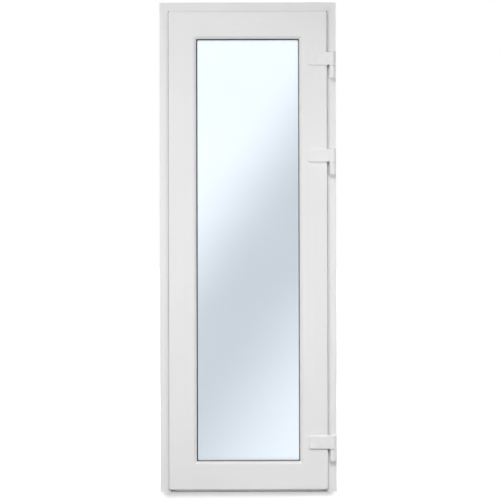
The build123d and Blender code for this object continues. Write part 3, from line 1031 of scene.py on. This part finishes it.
@dataclass
class Handle(Assembly):
    """The inside lever on its rose.

    Attributes:
        neck: Radius of the lever's neck.
        neck_root: Depth of the neck's start in the rose.
        bend: Radius of the turn from neck to grip.
        grip_depth: Half thickness of the grip.
        grip_width: Half width of the grip.
        margin: Distance that the grip keeps inside its CAD solid.
        tip_share: Share of the thickness that is left at the grip's end.
        steps: Sections along the neck, the bend, the grip and its tip.
        section_points: Points round a section.
        section_power: Power that squares a section's oval.
        crease: Angle in degrees above which the lever's edges stay sharp.
        rose_corner: Radius of the rose's corners.
        rose_corner_steps: Segments in each of those corners.
        rose_edge: Radius of the rose's edge.
    """

    neck: float = 0.0095
    neck_root: float = 0.002
    bend: float = 0.013
    grip_depth: float = 0.007
    grip_width: float = 0.01
    margin: float = 0.00001
    tip_share: float = 0.05
    steps: tuple[int, int, int, int] = (4, 10, 8, 6)
    section_points: int = 32
    section_power: float = 0.75
    crease: float = 50.0
    rose_corner: float = 0.0145
    rose_corner_steps: int = 10
    rose_edge: float = 0.004

    def rose(self) -> None:
        """Model the rose with a rounded edge."""
        low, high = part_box("handle_rose")
        middle, size = (low + high) / 2, high - low
        loops = cushion((middle.x, middle.z), (size.x, size.z), self.rose_corner, (low.y, high.y),
                        self.rose_edge, self.rose_corner_steps)
        mesh = skin("handle_rose_cover", self.palette.handle, loops)
        settle(link(mesh), Body.SASH, "handle_enamel", "handle_rose")

    def section(self, middle: Vector, along: Vector, depth: float, width: float) -> Loop:
        """Draw one section of the lever.

        Args:
            middle: Middle of the section.
            along: Direction of the lever there.
            depth: Half size across the lever, in the turn's plane.
            width: Half size from side to side.

        Returns:
            A ring of points on a squared oval.
        """
        across = Vector((1, 0, 0))
        side = across.cross(along).normalized()
        ring = []
        for k in range(self.section_points):
            angle = math.tau * k / self.section_points
            c, s = math.cos(angle), math.sin(angle)
            ring.append(middle + side * (depth * math.copysign(abs(c) ** self.section_power, c))
                        + across * (width * math.copysign(abs(s) ** self.section_power, s)))
        return ring

    def lever(self) -> None:
        """Sweep the lever out of the rose, round its bend and down the grip."""
        low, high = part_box("handle_lever")
        rose_low, rose_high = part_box("handle_rose")
        hub = (rose_low + rose_high) / 2
        reach = high.y - self.grip_depth - self.margin
        start = rose_high.y - self.neck_root
        out, down = Vector((0, 1, 0)), Vector((0, 0, -1))
        neck_steps, bend_steps, grip_steps, tip_steps = self.steps
        rings = []
        for k in range(neck_steps + 1):
            y = start + (reach - self.bend - start) * k / neck_steps
            rings.append(self.section(Vector((hub.x, y, hub.z)), out, self.neck, self.neck))
        pivot = Vector((hub.x, reach - self.bend, hub.z - self.bend))
        for k, angle in enumerate(quarter_turn(bend_steps)[1:], 1):
            share = k / bend_steps
            heading = out * math.cos(angle) + down * math.sin(angle)
            middle = pivot + (out * math.sin(angle) - down * math.cos(angle)) * self.bend
            rings.append(self.section(middle, heading, self.neck + (self.grip_depth - self.neck) * share,
                                      self.neck + (self.grip_width - self.neck) * share))
        tip = low.z + self.grip_depth
        for k in range(1, grip_steps + 1):
            z = pivot.z + (tip - pivot.z) * k / grip_steps
            rings.append(self.section(Vector((hub.x, reach, z)), down, self.grip_depth, self.grip_width))
        for angle in quarter_turn(tip_steps)[1:]:
            z = tip - self.grip_depth * math.sin(angle)
            share = max(math.cos(angle), self.tip_share)
            rings.append(self.section(Vector((hub.x, reach, z)), down, self.grip_depth * share,
                                      self.grip_width - self.grip_depth * (1 - share)))
        mesh = skin("handle_lever_grip", self.palette.handle, rings, crease=self.crease)
        settle(link(mesh), Body.SASH, "handle_enamel", "handle_lever")

    def build(self) -> None:
        """Make the rose and the lever."""
        self.rose()
        self.lever()


@dataclass(frozen=True)
class SoftBox:
    """One soft, square studio lamp.

    Attributes:
        name: Lamp name.
        place: Middle of the lamp.
        power: Watts.
        target: Point that it faces.
        size: Width and height.
        spread: Angle of its beam, in degrees.
    """

    name: str
    place: Point
    power: float
    target: Point = (0.0, 0.0, 1.0)
    size: float = 0.8
    spread: float = 180.0

    def build(self) -> None:
        """Hang the lamp, hidden from the camera, from mirrors and from views through glass."""
        data = bpy.data.lights.new(self.name, "AREA")
        data.shape = "RECTANGLE"
        data.size = data.size_y = self.size
        data.energy = self.power
        data.spread = math.radians(self.spread)
        lamp = link(data)
        lamp.location = self.place
        beam = Vector(self.target) - Vector(self.place)
        lamp.rotation_euler = beam.to_track_quat("-Z", "Y").to_euler()
        lamp.visible_camera = lamp.visible_glossy = lamp.visible_transmission = False


@dataclass
class Studio:
    """Pale floor, soft lamps, white surround and the camera.

    Attributes:
        distance: Camera's distance in front of the frame's face.
        camera_z: Camera's height.
        sensor_width: Width of the camera's sensor in millimetres.
        pixels_per_metre: Scale of the picture at the frame's face.
        image_width: Width of the picture in pixels.
        door_middle: Pixel column of the door's middle.
        door_foot: Pixel row of the door's foot.
        roll: Tilt of the camera about its view, in degrees.
        pitch: Upward tilt of the camera, in degrees.
        ambient: Level of the surround's even light.
        mirror_gain: Brightest level of the surround in reflections.
        band_slope: Direction along which the mirrored surround changes.
        band_span: Reach of the mirrored bands along that direction.
        band_stops: Place of each mirrored tone in that reach, and its level.
        floor_reach: Half width of the floor.
        floor_colour: Linear grey of the floor.
        floor_glow: Light added to the floor at the door, as the camera sees it.
        painted_shade_half: Half width and half depth of the patch round the door's foot where the floor's
            glow is held back: a painted shade, under which the door's real shadow shows.
        painted_shade_fade: Distances, across and in depth, over which that painted shade fades to white.
        lamps: The soft lamps.
    """

    distance: float = 6.0
    camera_z: float = 1.2
    sensor_width: float = 36.0
    pixels_per_metre: float = 223.2
    image_width: float = 500.0
    door_middle: float = 247.97
    door_foot: float = 491.05
    roll: float = 0.14
    pitch: float = 0.6
    ambient: float = 0.1
    mirror_gain: float = 2.2
    band_slope: Point = (1.46, 0.0, -1.0)
    band_span: Pair = (-0.546, 0.554)
    band_stops: tuple[Pair, ...] = (
        (0.0, 1.0), (0.4185, 0.66), (0.53, 0.041), (0.5545, 0.034), (0.703, 0.56), (1.0, 0.05))
    floor_reach: float = 30.0
    floor_colour: float = 0.7
    floor_glow: float = 0.05
    painted_shade_half: Pair = (0.35, 0.05)
    painted_shade_fade: Pair = (0.09, 0.29)
    lamps: tuple[SoftBox, ...] = (
        SoftBox("left_softbox", (-1.6, -2.2, 1.6), 14.2),
        SoftBox("right_softbox", (1.6, -2.2, 1.6), 19.2),
        SoftBox("high_left_softbox", (-1.2, -2.0, 3.0), 13.0),
        SoftBox("high_softbox", (0.0, -1.5, 2.8), 3.2),
        SoftBox("gridded_softbox", (0.0, -4.4, 3.9), 8.5, target=(0.0, 0.0, 0.1), spread=50.0),
        SoftBox("hinge_side_softbox", (4.5, 2.5, 1.6), 45.0, target=(0.4, 0.0, 1.1), size=1.6, spread=120.0),
        SoftBox("back_softbox", (-1.6, 4.5, 2.4), 66.0, target=(0.0, 0.0, 1.1), size=1.6, spread=120.0),
    )

    def camera(self) -> None:
        """Stand the camera in front of the door's middle and frame it as the picture does."""
        data = bpy.data.cameras.new("camera")
        data.sensor_width = self.sensor_width
        data.lens = self.pixels_per_metre * self.distance * data.sensor_width / self.image_width
        half = self.image_width / 2
        height = (self.door_foot - half) / self.pixels_per_metre
        data.shift_x = (half - self.door_middle) / self.image_width
        aimed = self.camera_z + self.distance * math.tan(math.radians(self.pitch))
        data.shift_y = (height - aimed) * self.pixels_per_metre / self.image_width
        eye = link(data)
        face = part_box("frame_head")[0].y
        place = Matrix.Translation((0.0, face - self.distance, self.camera_z))
        level = Matrix.Rotation(math.radians(90 + self.pitch), 4, "X")
        eye.matrix_world = place @ level @ Matrix.Rotation(math.radians(-self.roll), 4, "Z")
        bpy.context.scene.camera = eye

    def surround(self) -> None:
        """White to the eye and through glass, banded in mirrors, even and soft as light."""
        world = bpy.data.worlds.new("surround")
        bpy.context.scene.world = world
        world.use_nodes = True
        graph = NodeGraph(world.node_tree)
        path = graph.add("ShaderNodeLightPath").outputs
        heading = graph.add("ShaderNodeTexCoord").outputs["Generated"]
        slope = graph.vector("DOT_PRODUCT", heading, self.band_slope)
        span = {"Value": slope, "From Min": self.band_span[0], "From Max": self.band_span[1]}
        ramp = graph.add("ShaderNodeValToRGB", {0: graph.add("ShaderNodeMapRange", span).outputs["Result"]})
        ramp.color_ramp.interpolation = "EASE"
        stops = ramp.color_ramp.elements
        while len(stops) < len(self.band_stops):
            stops.new(position=0.5)
        for stop, (place, level) in zip(stops, self.band_stops):
            stop.position = place
            stop.color = (level, level, level, 1.0)
        gained = {0: ramp.outputs["Color"], "Scale": self.mirror_gain}
        mirrored = graph.add("ShaderNodeVectorMath", gained, operation="SCALE").outputs[0]
        seen = graph.math("MAXIMUM", path["Is Camera Ray"], path["Is Transmission Ray"])
        glossy = graph.math("MINIMUM", path["Glossy Depth"], 1.0)
        lit = graph.mix(seen, (self.ambient, self.ambient, self.ambient, 1.0), WHITE)
        graph.fill(world.node_tree.nodes["Background"], {"Color": graph.mix(glossy, lit, mirrored)})

    def floor_finish(self) -> Material:
        """Make the floor's material: matt with little glow in a patch round the door's foot, which is a
        painted shade, and glowing white further out.

        Returns:
            The material.
        """
        material = bpy.data.materials.new("studio_floor")
        material.use_nodes = True
        nodes = material.node_tree.nodes
        nodes.remove(nodes["Principled BSDF"])
        graph = NodeGraph(material.node_tree)
        path = graph.add("ShaderNodeLightPath").outputs
        place = graph.add("ShaderNodeTexCoord").outputs["Object"]
        # Painted shade: in a soft box round the door's foot the camera sees less glow, so the floor is
        # darker there than further out.
        beyond = graph.vector("SUBTRACT", graph.vector("ABSOLUTE", place), (*self.painted_shade_half, 0.0))
        outside = graph.vector("MAXIMUM", beyond, (0.0, 0.0, 0.0))
        across, in_depth = self.painted_shade_fade
        away = graph.vector("LENGTH", graph.vector("MULTIPLY", outside, (1 / across, 1 / in_depth, 0.0)))
        fade = graph.add("ShaderNodeMapRange", {"Value": away, "To Min": self.floor_glow, "To Max": 1.0},
                         interpolation_type="SMOOTHSTEP").outputs["Result"]
        grey = (self.floor_colour, self.floor_colour, self.floor_colour, 1.0)
        matt = graph.add("ShaderNodeBsdfDiffuse", {"Color": grey}).outputs[0]
        strength = graph.math("MULTIPLY", path["Is Camera Ray"], fade)
        glow = graph.add("ShaderNodeEmission", {"Color": WHITE, "Strength": strength}).outputs[0]
        both = graph.add("ShaderNodeAddShader", {0: matt, 1: glow}).outputs[0]
        graph.fill(nodes["Material Output"], {"Surface": both})
        return material

    def floor(self) -> None:
        """Lay a pale floor that keeps the door's shadow inside a painted shade patch at its foot, left out
        of mirrors and panes.
        """
        reach = self.floor_reach
        corners = [(-reach, -reach, 0.0), (reach, -reach, 0.0), (reach, reach, 0.0), (-reach, reach, 0.0)]
        mesh = bpy.data.meshes.new("floor")
        mesh.from_pydata(corners, [], [(0, 1, 2, 3)])
        mesh.materials.append(self.floor_finish())
        ground = link(mesh)
        ground.visible_glossy = ground.visible_transmission = False

    def build(self) -> None:
        """Set the floor, the surround, the lamps and the camera."""
        bpy.context.scene.view_settings.view_transform = "Standard"
        self.floor()
        self.surround()
        for lamp in self.lamps:
            lamp.build()
        self.camera()


def main() -> None:
    """Build the door's pieces in order, then the studio."""
    logging.basicConfig(level=logging.INFO, format="%(name)s: %(message)s")
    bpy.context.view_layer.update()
    palette = Palette()
    axis = frame["joints"][0]["pos_m"]
    hinges = [Hinge(palette, place, (axis[0], axis[1])) for place in ("top", "middle", "bottom")]
    for assembly in (DoorFrame(palette), Threshold(palette), Sash(palette), Glazing(palette), *hinges,
                     LockEdge(palette), Handle(palette)):
        assembly.build()
    Studio().build()


if __name__ == "__main__":
    main()
